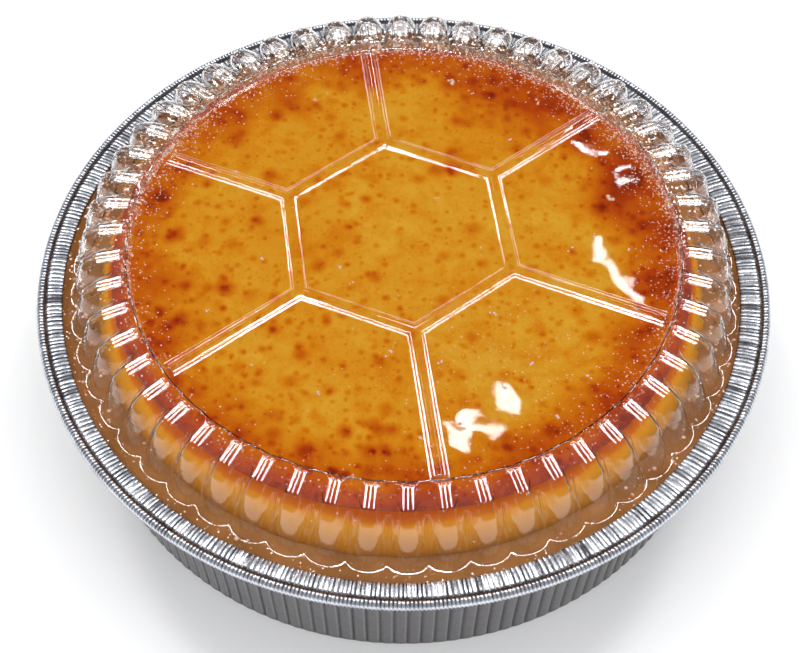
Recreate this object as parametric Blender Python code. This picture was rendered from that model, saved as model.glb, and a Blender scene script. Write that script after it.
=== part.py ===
"""Round leche flan in a pleated foil pan, shut under a clear fluted lid.

The pan stands on the floor at z = 0 and +Z is up. The axis of the pan and of
the lid is the Z axis; the flan stands slightly off it. All lengths in metres.
"""

import math

import bpy
import bmesh
from mathutils import Vector

GAP = 0.0003                    # clearance between pieces that touch

# Foil pan
PAN_FLOOR_RADIUS = 0.1022       # flat underside
PAN_CORNER_RADIUS = 0.1045      # outside of the rounded bottom corner
PAN_CORNER_HEIGHT = 0.0020
PAN_NECK_RADIUS = 0.1080        # top of the tapered side, under the rim
FOIL = 0.0008                   # wall thickness of the pan
RIM_RADIUS = 0.1170             # outside of the rolled bead
RIM_TOP = 0.0530                # highest point of the bead
BEAD_WIDTH = 0.0030
BEAD_HEIGHT = 0.0042
BEAD_ROUNDING = 0.0014          # how far the bead's edges are cut back
HEM_INNER_RADIUS = 0.1086       # inner edge of the foil folded over the lid
HEM_THICKNESS = 0.0007

# Clear lid
LID_WALL = 0.0008
LID_TOP = RIM_TOP + 0.0177      # flat ring round the recessed panel
PANEL_DROP = 0.0027             # how far the panel lies below that ring
PANEL_RADIUS = 0.0852
CREASE_RADIUS = 0.0860
FLANGE_TOP = RIM_TOP - 0.0020
FLANGE_RADIUS = 0.1130
FLUTES = 54
FLUTE_PHASE = math.radians(157.66)
LOBE_HALF_WIDTH = 0.36          # share of a flute's pitch from its crest to its valley
COLUMNS = (0.0, 0.26, 0.5, 0.74)    # where a flute's four columns of points lie

# Lid section as radius and depth below LID_TOP: start of the top bevel, end of
# the top bevel, shoulder. First down a lobe, then down a valley.
LOBE_SECTION = ((0.0884, 0.0), (0.0960, 0.0012), (0.1002, 0.0040))
VALLEY_SECTION = ((0.0882, 0.0), (0.0924, 0.0016), (0.0950, 0.0056))
LOBE_FOOT_RADIUS = 0.1050
VALLEY_FOOT_RADIUS = 0.1024
BEVEL_INSET = (0.0005, 0.0009)      # inside face from outside face: inward, down
SIDE_INSET = (0.0009, 0.0005)
CREASE_INSET = (0.0008, 0.0001)     # inside face of the step round the panel: outward

# Embossed star on the panel: a hexagon with a ridge running out of each corner
HEXAGON_RADIUS = 0.0382
HEXAGON_CENTRE = Vector((-0.0018, 0.0052))
HEXAGON_PHASE = math.radians(98.0)
RIDGE_HEIGHT = 0.0010
RIDGE_FOOT = 0.0058
RIDGE_CREST = 0.0030
RIDGE_END_RADIUS = 0.0845

# Flan
FLAN_CENTRE = Vector((-0.0008, -0.0020))
CUSTARD_FOOT_RADIUS = 0.0970
CUSTARD_TOP_RADIUS = 0.0910
CUSTARD_TOP = LID_TOP - 0.0070
CUSTARD_FOOT_BEVEL = 0.0015
CUSTARD_TOP_BEVEL = 0.0005
CARAMEL_RADIUS = 0.0905
CARAMEL_TOP = LID_TOP - PANEL_DROP - LID_WALL - 0.0005
CARAMEL_FOOT_BEVEL = 0.0004
CARAMEL_ROUNDING = 0.0022
CARAMEL_ROUNDING_STEPS = 3
SYRUP_TOP = 0.0482
SYRUP_FLOOR_GAP = 0.0012

PAN_SEGMENTS = 72
FLAN_SEGMENTS = 54
SMOOTH_ANGLE = math.radians(35.0)
SIXTH_TURN = math.pi / 3.0


def clear_scene():
    for thing in list(bpy.data.objects):
        bpy.data.objects.remove(thing, do_unlink=True)


def make_material(name, colour, roughness, metallic=0.0, transmission=0.0):
    material = bpy.data.materials.new(name)
    material.use_nodes = True
    shader = material.node_tree.nodes["Principled BSDF"]
    shader.inputs["Base Color"].default_value = (*colour, 1.0)
    shader.inputs["Roughness"].default_value = roughness
    shader.inputs["Metallic"].default_value = metallic
    shader.inputs["Transmission Weight"].default_value = transmission
    return material


def add_object(name, mesh_builder, material):
    """Turn a bmesh into a linked object with outward faces and smooth shading."""
    bmesh.ops.recalc_face_normals(mesh_builder, faces=mesh_builder.faces)
    mesh = bpy.data.meshes.new(name)
    mesh_builder.to_mesh(mesh)
    mesh_builder.free()
    mesh.shade_smooth()
    mesh.set_sharp_from_angle(angle=SMOOTH_ANGLE)
    mesh.materials.append(material)
    thing = bpy.data.objects.new(name, mesh)
    bpy.context.scene.collection.objects.link(thing)
    return thing


def add_ring(mesh_builder, points):
    return [mesh_builder.verts.new(point) for point in points]


def circle_points(radius, height, count, centre=Vector((0.0, 0.0)), phase=0.0):
    step = 2.0 * math.pi / count
    return [
        (
            centre.x + radius * math.cos(phase + step * index),
            centre.y + radius * math.sin(phase + step * index),
            height,
        )
        for index in range(count)
    ]


def join_rings(mesh_builder, first, second):
    count = len(first)
    for index in range(count):
        after = (index + 1) % count
        mesh_builder.faces.new((first[index], first[after], second[after], second[index]))


def lathe(profile, count, closed_loop, centre=Vector((0.0, 0.0))):
    """Turn (radius, height) points about a vertical axis through centre.

    A closed loop gives a ring. An open one is capped by a flat disc at each end.
    """
    mesh_builder = bmesh.new()
    rings = [
        add_ring(mesh_builder, circle_points(radius, height, count, centre))
        for radius, height in profile
    ]
    for first, second in zip(rings, rings[1:]):
        join_rings(mesh_builder, first, second)
    if closed_loop:
        join_rings(mesh_builder, rings[-1], rings[0])
    else:
        mesh_builder.faces.new(rings[0])
        mesh_builder.faces.new(rings[-1])
    return mesh_builder


def pan_inner_radius(height):
    """Inside radius of the pan's tapered side at a height."""
    low = PAN_CORNER_RADIUS - FOIL
    high = PAN_NECK_RADIUS - FOIL
    share = (height - PAN_CORNER_HEIGHT) / (FLANGE_TOP - PAN_CORNER_HEIGHT)
    return low + (high - low) * share


def build_pan(material):
    """Floor, tapered side, flange, rolled bead and the hem folded over the lid."""
    flange_top = FLANGE_TOP - LID_WALL - GAP
    flange_bottom = flange_top - FOIL
    hem_bottom = FLANGE_TOP + GAP
    hem_top = hem_bottom + HEM_THICKNESS
    bead_inner = RIM_RADIUS - BEAD_WIDTH
    bead_wall = FLANGE_RADIUS + GAP
    bead_bottom = RIM_TOP - BEAD_HEIGHT
    profile = [
        (PAN_FLOOR_RADIUS, 0.0),
        (PAN_CORNER_RADIUS, PAN_CORNER_HEIGHT),
        (PAN_NECK_RADIUS, flange_bottom),
        (bead_inner, flange_bottom),
        (RIM_RADIUS - BEAD_ROUNDING, bead_bottom),
        (RIM_RADIUS, bead_bottom + BEAD_ROUNDING),
        (RIM_RADIUS, RIM_TOP - BEAD_ROUNDING),
        (RIM_RADIUS - BEAD_ROUNDING, RIM_TOP),
        (HEM_INNER_RADIUS, hem_top),
        (HEM_INNER_RADIUS, hem_bottom),
        (bead_wall, hem_bottom),
        (bead_wall, flange_top),
        (PAN_NECK_RADIUS - FOIL, flange_top),
        (pan_inner_radius(PAN_CORNER_HEIGHT), PAN_CORNER_HEIGHT),
        (PAN_FLOOR_RADIUS, FOIL),
    ]
    return add_object("foil_pan", lathe(profile, PAN_SEGMENTS, False), material)


def flute_rise(share):
    """How far a point of one flute stands out, 0 in the valley and 1 on the lobe."""
    distance = min(share, 1.0 - share)
    if distance >= LOBE_HALF_WIDTH:
        return 0.0
    return math.cos(0.5 * math.pi * distance / LOBE_HALF_WIDTH)


def fluted_points(lobe, valley):
    """One ring of the lid between its lobe and valley radii and heights."""
    points = []
    for flute in range(FLUTES):
        for share in COLUMNS:
            rise = flute_rise(share)
            radius = valley[0] + (lobe[0] - valley[0]) * rise
            height = valley[1] + (lobe[1] - valley[1]) * rise
            angle = FLUTE_PHASE + 2.0 * math.pi * (flute + share) / FLUTES
            points.append((radius * math.cos(angle), radius * math.sin(angle), height))
    return points


def level(radius, height):
    """A ring that is the same on lobes and in valleys."""
    return ((radius, height), (radius, height))


def inset(spot, amount):
    return (spot[0] - amount[0], LID_TOP - spot[1] - amount[1])


def lid_profile():
    """Pairs of lobe and valley points, over the outside face and back along the inside."""
    panel = LID_TOP - PANEL_DROP
    underside = FLANGE_TOP - LID_WALL
    outside = [level(PANEL_RADIUS, panel), level(CREASE_RADIUS, LID_TOP)]
    for lobe, valley in zip(LOBE_SECTION, VALLEY_SECTION):
        outside.append((inset(lobe, (0.0, 0.0)), inset(valley, (0.0, 0.0))))
    outside.append(((LOBE_FOOT_RADIUS, FLANGE_TOP), (VALLEY_FOOT_RADIUS, FLANGE_TOP)))
    flange = [level(FLANGE_RADIUS, FLANGE_TOP), level(FLANGE_RADIUS, underside)]
    inside = [(
        (LOBE_FOOT_RADIUS - SIDE_INSET[0], underside),
        (VALLEY_FOOT_RADIUS - SIDE_INSET[0], underside),
    )]
    for index, amount in ((2, SIDE_INSET), (1, BEVEL_INSET)):
        inside.append((inset(LOBE_SECTION[index], amount), inset(VALLEY_SECTION[index], amount)))
    inside.append(level(CREASE_RADIUS + CREASE_INSET[0], LID_TOP - LID_WALL))
    inside.append(level(CREASE_RADIUS + CREASE_INSET[1], panel - LID_WALL))
    return outside + flange + inside


def lid_shell():
    mesh_builder = bmesh.new()
    rings = [
        add_ring(mesh_builder, fluted_points(lobe, valley))
        for lobe, valley in lid_profile()
    ]
    for first, second in zip(rings, rings[1:]):
        join_rings(mesh_builder, first, second)
    mesh_builder.faces.new(rings[0])
    mesh_builder.faces.new(rings[-1])
    return mesh_builder


def polar(centre, distance, angle):
    return Vector((centre.x + distance * math.cos(angle), centre.y + distance * math.sin(angle)))


def ridge_outline(width):
    """Corner points of the star at one height: per corner, its spoke and its inside."""
    half = 0.5 * width
    corner_reach = half / math.sin(SIXTH_TURN)
    outline = []
    for index in range(6):
        angle = HEXAGON_PHASE + index * SIXTH_TURN
        corner = polar(HEXAGON_CENTRE, HEXAGON_RADIUS, angle)
        outward = Vector((math.cos(angle), math.sin(angle)))
        sideways = Vector((-outward.y, outward.x))
        along = corner.dot(outward)
        reach = -along + math.sqrt(along ** 2 - corner.length_squared + RIDGE_END_RADIUS ** 2)
        tip = corner + outward * (reach - half)
        outline.append({
            "right": polar(corner, corner_reach, angle - SIXTH_TURN),
            "tip_right": tip - sideways * half,
            "tip_left": tip + sideways * half,
            "left": polar(corner, corner_reach, angle + SIXTH_TURN),
            "inside": polar(corner, corner_reach, angle + math.pi),
        })
    return outline


def ridge_solid():
    """The whole star as one closed frustum that dips into the panel."""
    panel = LID_TOP - PANEL_DROP
    sections = ((RIDGE_FOOT, panel - 0.5 * LID_WALL), (RIDGE_CREST, panel + RIDGE_HEIGHT))
    mesh_builder = bmesh.new()
    levels = []
    for width, height in sections:
        levels.append([
            {key: mesh_builder.verts.new((*spot, height)) for key, spot in corner.items()}
            for corner in ridge_outline(width)
        ])
    low, high = levels
    for corners in levels:
        for index in range(6):
            here = corners[index]
            after = corners[(index + 1) % 6]
            mesh_builder.faces.new(
                (here["right"], here["tip_right"], here["tip_left"], here["left"]))
            mesh_builder.faces.new((here["right"], here["left"], here["inside"]))
            mesh_builder.faces.new(
                (here["left"], after["right"], after["inside"], here["inside"]))
    steps = (("right", "tip_right", 0), ("tip_right", "tip_left", 0), ("tip_left", "left", 0),
             ("left", "right", 1), ("inside", "inside", 1))
    for index in range(6):
        for start, end, shift in steps:
            other = (index + shift) % 6
            mesh_builder.faces.new(
                (low[index][start], low[other][end], high[other][end], high[index][start]))
    return mesh_builder


def build_lid(material):
    lid = add_object("clear_lid", lid_shell(), material)
    cutter = add_object("star_ridges_guide", ridge_solid(), material)
    cutter.hide_render = True
    cutter.display_type = "WIRE"
    union = lid.modifiers.new("star_ridges", "BOOLEAN")
    union.operation = "UNION"
    union.solver = "EXACT"
    union.object = cutter
    return lid


def build_custard(material):
    floor = FOIL + GAP
    shoulder = CUSTARD_TOP - CUSTARD_TOP_BEVEL
    profile = [
        (CUSTARD_FOOT_RADIUS - CUSTARD_FOOT_BEVEL, floor),
        (CUSTARD_FOOT_RADIUS, floor + CUSTARD_FOOT_BEVEL),
        (custard_radius(shoulder), shoulder),
        (CUSTARD_TOP_RADIUS - CUSTARD_TOP_BEVEL, CUSTARD_TOP),
    ]
    return add_object("custard", lathe(profile, FLAN_SEGMENTS, False, FLAN_CENTRE), material)


def custard_radius(height):
    share = height / CUSTARD_TOP
    return CUSTARD_FOOT_RADIUS + (CUSTARD_TOP_RADIUS - CUSTARD_FOOT_RADIUS) * share


def build_caramel(material):
    """The caramel layer on top of the custard, with a softly rounded upper edge."""
    profile = [(CARAMEL_RADIUS - CARAMEL_FOOT_BEVEL, CUSTARD_TOP + GAP)]
    for step in range(CARAMEL_ROUNDING_STEPS + 1):
        turn = 0.5 * math.pi * step / CARAMEL_ROUNDING_STEPS
        profile.append((
            CARAMEL_RADIUS - CARAMEL_ROUNDING * (1.0 - math.cos(turn)),
            CARAMEL_TOP - CARAMEL_ROUNDING * (1.0 - math.sin(turn)),
        ))
    return add_object("caramel", lathe(profile, FLAN_SEGMENTS, False, FLAN_CENTRE), material)


def build_syrup(material):
    """Caramel syrup pooled between the flan's side and the side of the pan."""
    levels = (FOIL + SYRUP_FLOOR_GAP, SYRUP_TOP)
    mesh_builder = bmesh.new()
    rings = []
    for height in levels:
        radius = pan_inner_radius(height) - GAP
        points = circle_points(radius, height, FLAN_SEGMENTS)
        rings.append(add_ring(mesh_builder, points))
    for height in reversed(levels):
        radius = custard_radius(height) + 2.0 * GAP
        points = circle_points(radius, height, FLAN_SEGMENTS, FLAN_CENTRE)
        rings.append(add_ring(mesh_builder, points))
    for index, ring in enumerate(rings):
        join_rings(mesh_builder, ring, rings[(index + 1) % len(rings)])
    return add_object("syrup", mesh_builder, material)


def main():
    clear_scene()
    foil = make_material("foil", (0.72, 0.73, 0.75), 0.28, metallic=1.0)
    clear = make_material("clear_plastic", (0.95, 0.96, 0.97), 0.04, transmission=1.0)
    egg_custard = make_material("egg_custard", (0.62, 0.33, 0.06), 0.35)
    burnt_caramel = make_material("burnt_caramel", (0.62, 0.19, 0.01), 0.12)
    caramel_syrup = make_material("caramel_syrup", (0.25, 0.09, 0.01), 0.08)
    build_pan(foil)
    build_custard(egg_custard)
    build_caramel(burnt_caramel)
    build_syrup(caramel_syrup)
    build_lid(clear)


main()
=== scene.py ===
"""Looks of a leche flan in its foil pan, shut under a clear fluted lid.

All lengths are in metres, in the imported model's frame: the pan stands on
z = 0, +Z is up, and the camera looks along +Y from the front.
"""

import math

import bmesh
import bpy
import numpy as np
from mathutils import Matrix, Vector
from mathutils.geometry import delaunay_2d_cdt


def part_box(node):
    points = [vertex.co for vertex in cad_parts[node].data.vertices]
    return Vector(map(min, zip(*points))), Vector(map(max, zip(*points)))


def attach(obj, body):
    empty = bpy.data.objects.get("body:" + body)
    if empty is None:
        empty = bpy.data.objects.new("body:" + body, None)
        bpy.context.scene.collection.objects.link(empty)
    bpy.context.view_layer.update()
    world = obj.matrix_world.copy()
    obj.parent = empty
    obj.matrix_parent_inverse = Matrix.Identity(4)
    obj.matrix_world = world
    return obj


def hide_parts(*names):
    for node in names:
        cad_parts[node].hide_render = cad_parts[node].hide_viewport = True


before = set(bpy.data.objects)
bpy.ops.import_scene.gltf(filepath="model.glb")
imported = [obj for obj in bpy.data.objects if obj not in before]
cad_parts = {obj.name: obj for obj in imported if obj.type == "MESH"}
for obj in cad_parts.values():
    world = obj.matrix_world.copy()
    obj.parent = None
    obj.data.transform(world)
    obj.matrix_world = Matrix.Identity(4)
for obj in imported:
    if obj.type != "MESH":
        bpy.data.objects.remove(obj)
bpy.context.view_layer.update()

MM = 0.001
UPWARD = (0.0, 0.0, 1.0)

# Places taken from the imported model
_, PAN_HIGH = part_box("foil_pan")
LID_LOW, LID_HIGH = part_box("clear_lid")
CARAMEL_LOW, CARAMEL_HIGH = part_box("caramel")
CUSTARD_LOW, CUSTARD_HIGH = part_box("custard")
SYRUP_LOW, SYRUP_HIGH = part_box("syrup")
RIM_RADIUS = PAN_HIGH.x
RIM_TOP = PAN_HIGH.z
LID_TOP = LID_HIGH.z
FLANGE_BOTTOM = LID_LOW.z
FLAN_CENTRE = (0.5 * (CARAMEL_LOW + CARAMEL_HIGH)).to_2d()
CARAMEL_RADIUS = 0.5 * (CARAMEL_HIGH.x - CARAMEL_LOW.x)
CUSTARD_FOOT_RADIUS = 0.5 * (CUSTARD_HIGH.x - CUSTARD_LOW.x)

# Clear lid
LID_SHEET = 0.45 * MM
FLUTES = 54
FLUTE_PHASE = math.radians(157.66)
PANEL_DROP = 2.7 * MM           # depth of the sunken panel below the ring round it
FLANGE_TOP = FLANGE_BOTTOM + 0.8 * MM
HEXAGON_RADIUS = 38.2 * MM
HEXAGON_CENTRE = Vector((-1.8, 5.2)) * MM
HEXAGON_PHASE = math.radians(98.0)
RIDGE_FOOT = 5.8 * MM           # width of a ridge at its foot
# Distance in from a ridge's foot in mm, and the slope there
RIDGE_SLOPES = [
    (0.0, 0.0), (0.10, 0.12), (0.24, 0.225), (0.46, 0.225), (0.60, 0.30), (0.80, 0.46), (1.02, 0.46),
    (1.14, 0.30), (1.26, 0.225), (1.40, 0.225), (1.50, 0.12), (1.58, 0.0), (2.08, 0.0), (2.18, -0.225),
    (2.32, -0.225), (2.42, 0.0),
]
RIDGE_END_RADIUS = 84.8 * MM
RIPPLE_HEIGHT = 0.060 * MM      # of the fine ripples across the top of each flute

# Foil pan
FOIL = 0.25 * MM
HEM_REACH = 1.4 * MM            # how much further in the hem reaches at the right
RIBS = 158
PLEATS = 500
KNURLS = 620

# Small things
BROWNED_SPOTS = 520
FROTH_DOMES = 1300
DROPS = 5000
DROP_RING = (86.9 * MM, 93.5 * MM)
DROP_BEVEL = (85.1 * MM, 86.3 * MM)
# Running totals of bubbles: clusters and round the edge, then the back edge, then the front right
BUBBLES = (2600, 3700, 4200)

# ---- Shapes


def rounded_path(corners, radii, bend_steps):
    """A path through corners, each inner one rounded, with points near both ends of its straight runs."""
    corners = np.array(corners)
    points = [corners[0]]
    for before, here, after, radius in zip(corners, corners[1:], corners[2:], radii):
        run_in, run_out = np.linalg.norm(here - before), np.linalg.norm(after - here)
        way_in, way_out = (here - before) / run_in, (after - here) / run_out
        turn = math.acos(max(-1.0, min(1.0, float(way_in @ way_out))))
        reach = min(radius * math.tan(turn / 2.0), 0.45 * min(run_in, run_out))
        start, end = here - way_in * reach, here + way_out * reach
        points += run_ends(points[-1], start)
        for step in range(bend_steps + 1):
            share = step / bend_steps
            points.append((1 - share) ** 2 * start + 2 * share * (1 - share) * here + share ** 2 * end)
    return np.array(points + run_ends(points[-1], corners[-1]) + [corners[-1]])


def run_ends(first, last):
    """Points near both ends of a straight run."""
    return [first + (last - first) * share for share in (0.07, 0.93)]


def grid_faces(rows, columns, closed_rows=False):
    """Quads of a grid whose columns close into a ring."""
    row = np.arange(rows if closed_rows else rows - 1)[:, None]
    column = np.arange(columns)[None, :]
    beside = (column + 1) % columns
    low, high = row * columns, (row + 1) % rows * columns
    return np.stack([low + column, low + beside, high + beside, high + column], axis=-1).reshape(-1, 4)


def ring_angles(columns):
    return np.arange(columns) * 2.0 * math.pi / columns


def turned(angles, radii, heights, centre=(0.0, 0.0)):
    """Points from angles, radii and heights, which may each be one value, a row, or a grid of rows."""
    x = centre[0] + radii * np.cos(angles)
    y = centre[1] + radii * np.sin(angles)
    return np.stack(np.broadcast_arrays(x, y, heights), axis=-1)


def capped(points):
    """Points and faces of a grid whose first and last rows are closed by a fan round their middle point."""
    rows, columns = points.shape[:2]
    flat = points.reshape(-1, 3)
    middles = np.array([points[0].mean(0), points[-1].mean(0)])
    first = np.arange(columns)
    last = first + (rows - 1) * columns
    after = (np.arange(columns) + 1) % columns
    count = len(flat)
    fans = [(int(b), int(a), count) for a, b in zip(first, first[after])]
    fans += [(int(a), int(b), count + 1) for a, b in zip(last, last[after])]
    return np.vstack([flat, middles]), grid_faces(rows, columns).tolist() + fans


def wave_field(seed, size):
    """A smooth random function of x and y whose bumps are about size across, within about -1 to 1."""
    count = 24
    random = np.random.default_rng(seed)
    ways = random.uniform(0.0, 2.0 * math.pi, count)
    steps = 2.0 * math.pi / size * random.uniform(0.45, 1.0, count)
    phases = random.uniform(0.0, 2.0 * math.pi, count)

    def field(x, y):
        total = np.zeros(np.shape(x))
        for way, step, phase in zip(ways, steps, phases):
            total = total + np.cos(step * (x * math.cos(way) + y * math.sin(way)) + phase)
        return total / math.sqrt(2.0 * count)

    return field


def smoothstep(low, high, value):
    share = np.clip((value - low) / (high - low), 0.0, 1.0)
    return share * share * (3.0 - 2.0 * share)


def step_mm(low, high, length):
    """smoothstep of a length between two limits in millimetres."""
    return smoothstep(low * MM, high * MM, length)


def blend(first, second, share):
    return first * (1.0 - share) + second * share


def between(value, limits):
    return (value > limits[0]) & (value < limits[1])


def on_flan(distance, angle):
    """X and Y of the place at a distance and an angle from the flan's middle."""
    return FLAN_CENTRE.x + distance * math.cos(angle), FLAN_CENTRE.y + distance * math.sin(angle)


def add_object(name, data):
    made = bpy.data.objects.new(name, data)
    bpy.context.scene.collection.objects.link(made)
    return made


def add_piece(name, points, faces, material, node, sharp_angle=40.0):
    """A smooth-shaded mesh that stands for a CAD node, rides on the root and has a slot."""
    mesh = bpy.data.meshes.new(name)
    mesh.from_pydata(np.asarray(points).reshape(-1, 3).tolist(), [], [list(face) for face in faces])
    shape = bmesh.new()
    shape.from_mesh(mesh)
    bmesh.ops.recalc_face_normals(shape, faces=shape.faces)
    shape.to_mesh(mesh)
    shape.free()
    mesh.shade_smooth()
    mesh.set_sharp_from_angle(angle=math.radians(sharp_angle))
    mesh.materials.append(material)
    piece = add_object(name, mesh)
    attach(piece, "root")
    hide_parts(node)
    return piece


# ---- Materials


class Nodes:
    """A node tree that is wired up as its nodes are added."""

    def __init__(self, tree):
        self.tree = tree

    def add(self, kind, inputs=None, **settings):
        made = self.tree.nodes.new(kind)
        for key, value in settings.items():
            setattr(made, key, value)
        for key, value in (inputs or {}).items():
            if isinstance(value, bpy.types.NodeSocket):
                self.tree.links.new(value, made.inputs[key])
            else:
                made.inputs[key].default_value = value
        return made

    def place(self):
        return self.add("ShaderNodeTexCoord").outputs["Object"]

    def stored(self, name):
        """The value that store_shares kept on the piece."""
        return self.add("ShaderNodeAttribute", attribute_name=name).outputs["Fac"]

    def length(self, vector):
        return self.add("ShaderNodeVectorMath", {0: vector}, operation="LENGTH").outputs["Value"]

    def turn_and_height(self, place):
        """The angle round the upright axis, and the height."""
        split = self.add("ShaderNodeSeparateXYZ", {0: place})
        return self.math("ARCTAN2", split.outputs["Y"], split.outputs["X"]), split.outputs["Z"]

    def noise(self, vector, scale, detail=3.0, roughness=0.5, distortion=0.0):
        inputs = {"Vector": vector, "Scale": scale, "Detail": detail, "Roughness": roughness,
                  "Distortion": distortion}
        return self.add("ShaderNodeTexNoise", inputs).outputs["Fac"]

    def math(self, operation, first, second=0.5, clamp=False):
        made = self.add("ShaderNodeMath", {0: first, 1: second}, operation=operation, use_clamp=clamp)
        return made.outputs[0]

    def total(self, *values):
        """The sum of values, kept within 0 to 1."""
        result = values[0]
        for value in values[1:-1]:
            result = self.math("ADD", result, value)
        return self.math("ADD", result, values[-1], clamp=True)

    def span(self, value, low, high, to_low=0.0, to_high=1.0):
        inputs = {"Value": value, "From Min": low, "From Max": high, "To Min": to_low, "To Max": to_high}
        return self.add("ShaderNodeMapRange", inputs).outputs["Result"]

    def ramp(self, value, stops):
        made = self.add("ShaderNodeValToRGB", {"Fac": value})
        elements = made.color_ramp.elements
        while len(elements) < len(stops):
            elements.new(0.5)
        for element, (position, colour) in zip(elements, stops):
            element.position = position
            element.color = (*colour, 1.0)
        return made.outputs["Color"]

    def small_spots(self, vector, scale, strength):
        """Soft round spots of uneven size, one to some of the cells of a Voronoi pattern."""
        inputs = {"Vector": vector, "Scale": scale, "Randomness": 1.0}
        cells = self.add("ShaderNodeTexVoronoi", inputs, voronoi_dimensions="2D")
        tint = self.add("ShaderNodeSeparateColor", {0: cells.outputs["Color"]})
        reach = self.span(tint.outputs["Red"], 0.45, 1.0, 0.02, 0.42)
        share = self.math("DIVIDE", cells.outputs["Distance"], reach)
        return self.math("MULTIPLY", self.span(share, 0.25, 1.0, 1.0, 0.0), strength)

    def mix(self, share, first, second):
        inputs = {0: share}
        for index, colour in ((6, first), (7, second)):
            inputs[index] = colour if isinstance(colour, bpy.types.NodeSocket) else (*colour, 1.0)
        return self.add("ShaderNodeMix", inputs, data_type="RGBA").outputs[2]

    def bump(self, height, strength, distance):
        inputs = {"Height": height, "Strength": strength, "Distance": distance}
        return self.add("ShaderNodeBump", inputs).outputs["Normal"]


class Shader(Nodes):
    """A material, from its name to its finished surface."""

    def __init__(self, name):
        self.material = bpy.data.materials.new(name)
        self.material.use_nodes = True
        super().__init__(self.material.node_tree)
        self.tree.nodes.clear()
        self.output = self.add("ShaderNodeOutputMaterial")

    def principled(self, inputs):
        return self.add("ShaderNodeBsdfPrincipled", inputs).outputs[0]

    def finish(self, surface):
        self.tree.links.new(surface, self.output.inputs["Surface"])
        return self.material

    def mirrored(self):
        """1 for what is seen mirrored in the clear lid, otherwise 0."""
        path = self.add("ShaderNodeLightPath")
        return self.math("MULTIPLY", path.outputs["Is Singular Ray"], path.outputs["Is Reflection Ray"])

    def finish_clear(self, surface):
        """Ends a clear material that lets the lamps' light straight through."""
        path = self.add("ShaderNodeLightPath")
        blurred = self.math("SUBTRACT", path.outputs["Is Glossy Ray"], path.outputs["Is Singular Ray"])
        soft = self.math("MAXIMUM", path.outputs["Is Diffuse Ray"], blurred)
        shadow = self.math("MAXIMUM", path.outputs["Is Shadow Ray"], soft)
        through = self.add("ShaderNodeBsdfTransparent").outputs[0]
        return self.finish(self.add("ShaderNodeMixShader", {0: shadow, 1: surface, 2: through}).outputs[0])


def foil_material():
    """Bright foil, darkened by the painted shade stored on each piece: 0 on its tops, 1 down in its folds."""
    shader = Shader("bright_foil")
    place = shader.place()
    grain = shader.noise(place, 900.0, 3.0)
    wide = shader.noise(place, 150.0, 2.0)
    # Painted shade stored on each piece, plus random tone from a broad noise.
    shade = shader.total(shader.stored("shade"), shader.span(wide, 0.3, 0.7, -0.08, 0.10))
    tint = shader.ramp(shade, [
        (0.0, (0.84, 0.87, 0.94)), (0.25, (0.60, 0.62, 0.68)), (0.5, (0.33, 0.33, 0.35)),
        (0.75, (0.14, 0.13, 0.135)), (1.0, (0.045, 0.04, 0.042)),
    ])
    return shader.finish(shader.principled({
        "Base Color": tint,
        "Metallic": 1.0,
        "Roughness": shader.span(grain, 0.3, 0.7, 0.20, 0.32),
        "Normal": shader.bump(grain, 0.04, 0.2 * MM),
    }))


def ribbed_foil():
    """The side's dull foil, with painted shade down in the grooves between its ribs, a painted highlight
    stripe beside each groove, and painted shade towards its foot.
    """
    shader = Shader("ribbed_foil")
    place = shader.place()
    turn, height = shader.turn_and_height(place)
    ribs = shader.math("MULTIPLY", turn, RIBS / (2.0 * math.pi))
    share = shader.math("FRACT", shader.math("ADD", ribs, 0.5), 0.0)
    # Painted shade down each groove and a painted highlight stripe beside it.
    groove = shader.ramp(share, [
        (0.0, (0.21, 0.20, 0.205)), (0.22, (0.22, 0.21, 0.215)), (0.33, (0.33, 0.32, 0.325)),
        (0.39, (0.24, 0.23, 0.235)), (0.44, (0.11, 0.103, 0.107)), (0.51, (0.05, 0.047, 0.05)),
        (0.58, (0.095, 0.09, 0.092)), (0.68, (0.17, 0.162, 0.165)), (0.80, (0.20, 0.192, 0.196)),
    ])
    grain = shader.noise(place, 700.0, 3.0)
    wide = shader.noise(place, 90.0, 2.0)
    tint = shader.mix(shader.span(wide, 0.3, 0.7, 0.0, 0.25), groove, (0.18, 0.172, 0.176))
    # Painted shade towards the foot.
    foot = shader.span(height, 1.0 * MM, 6.0 * MM, 0.75, 0.0)
    tint = shader.mix(foot, tint, (0.11, 0.105, 0.108))
    return shader.finish(shader.principled({
        "Base Color": tint,
        "Metallic": 1.0,
        "Roughness": shader.span(grain, 0.3, 0.7, 0.30, 0.42),
        "Normal": shader.bump(grain, 0.08, 0.2 * MM),
    }))


def drop_material():
    """Beads of condensed water, some clear and some painted pale as glints."""
    shader = Shader("condensed_water")
    place = shader.place()
    fine = shader.noise(place, 300.0, 2.0)
    cloud = shader.noise(place, 420.0, 2.0, 0.6)
    return shader.finish_clear(shader.principled({
        # The pale colour on some beads is a painted glint.
        "Base Color": shader.mix(shader.span(cloud, 0.4, 0.6), (0.66, 0.50, 0.36), (0.98, 0.94, 0.90)),
        "Roughness": 0.0,
        "IOR": 1.45,
        "Transmission Weight": shader.span(cloud, 0.42, 0.60, 0.85, 0.20),
        "Normal": shader.bump(fine, 0.05, 0.1 * MM),
    }))


def bubble_material():
    """Glossy skins of the small bubbles in the caramel, with a painted highlight: paler towards each dome's
    top.
    """
    shader = Shader("caramel_bubble_skin")
    cloud = shader.noise(shader.place(), 80.0, 2.0)
    colour = shader.ramp(cloud, [(0.35, (0.56, 0.13, 0.003)), (0.65, (0.64, 0.19, 0.006))])
    # Painted highlight: the stored glint share makes each dome's top pale.
    share = shader.math("POWER", shader.stored("painted_glint"), 1.5, clamp=True)
    return shader.finish(shader.principled({
        "Base Color": shader.mix(share, colour, (1.0, 0.90, 0.80)),
        "Roughness": 0.12,
        "Specular IOR Level": 0.5,
    }))


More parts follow.
